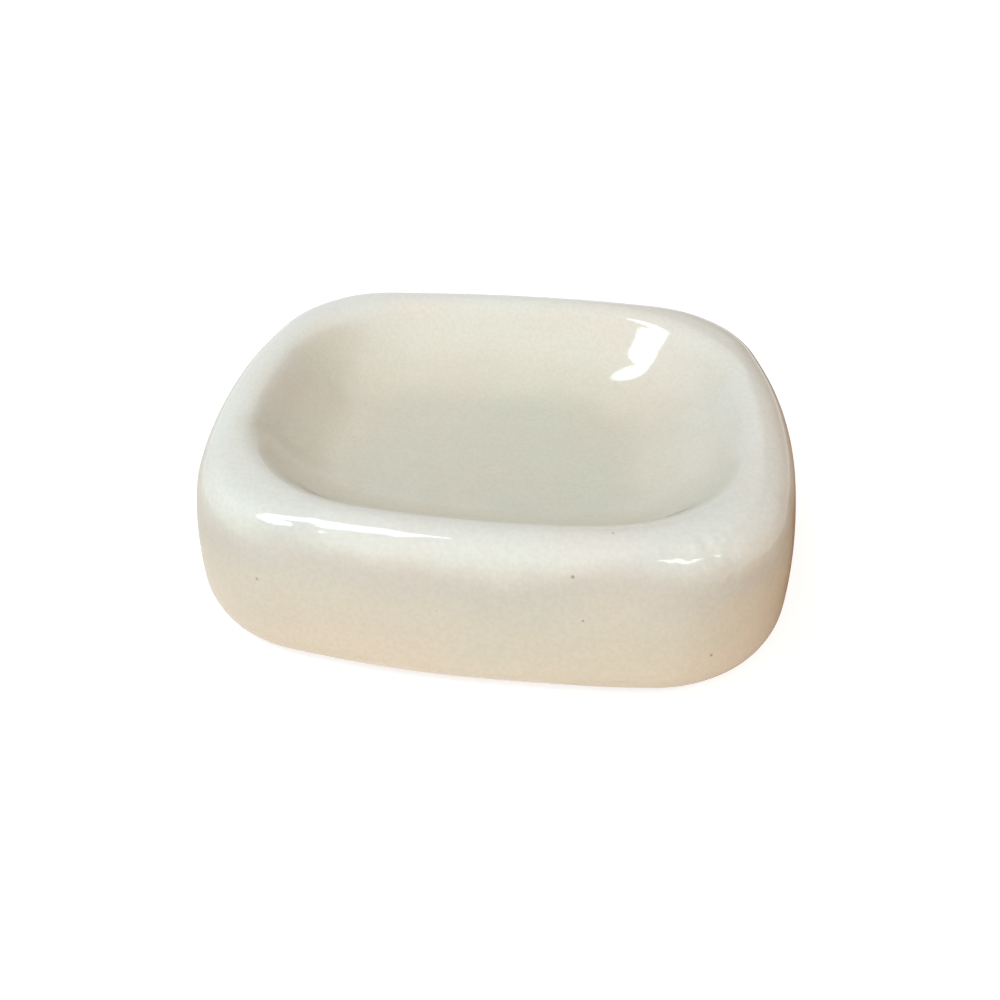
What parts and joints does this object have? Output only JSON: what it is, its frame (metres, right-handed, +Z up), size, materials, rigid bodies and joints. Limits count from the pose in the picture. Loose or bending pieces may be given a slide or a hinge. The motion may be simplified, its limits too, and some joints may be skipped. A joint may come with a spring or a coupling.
{
  "type": "soap dish",
  "caption": "Rounded oblong ceramic soap dish with a thick soft rim, one shallow basin for a bar of soap, a glossy cream glaze and soft pads underneath.",
  "frame": {"origin": "on the surface that the dish stands on, under the middle of the dish", "axes": "+X along the dish, -Y towards its front, +Z up"},
  "size_m": [0.13, 0.111, 0.0331],
  "materials": {
    "bare_clay": "bare fired clay",
    "cream_glaze": "glossy cream glaze",
    "soft_silicone": "soft matt silicone",
    "pad_silicone": "soft clear silicone"
  },
  "bodies": {
    "root": {"clay_body": "bare_clay", "glaze_coat": "cream_glaze", "pour_hole_stopper": "soft_silicone", "foot_pad_front_left": "pad_silicone", "foot_pad_front_right": "pad_silicone", "foot_pad_back_left": "pad_silicone", "foot_pad_back_right": "pad_silicone"}
  },
  "joints": []
}
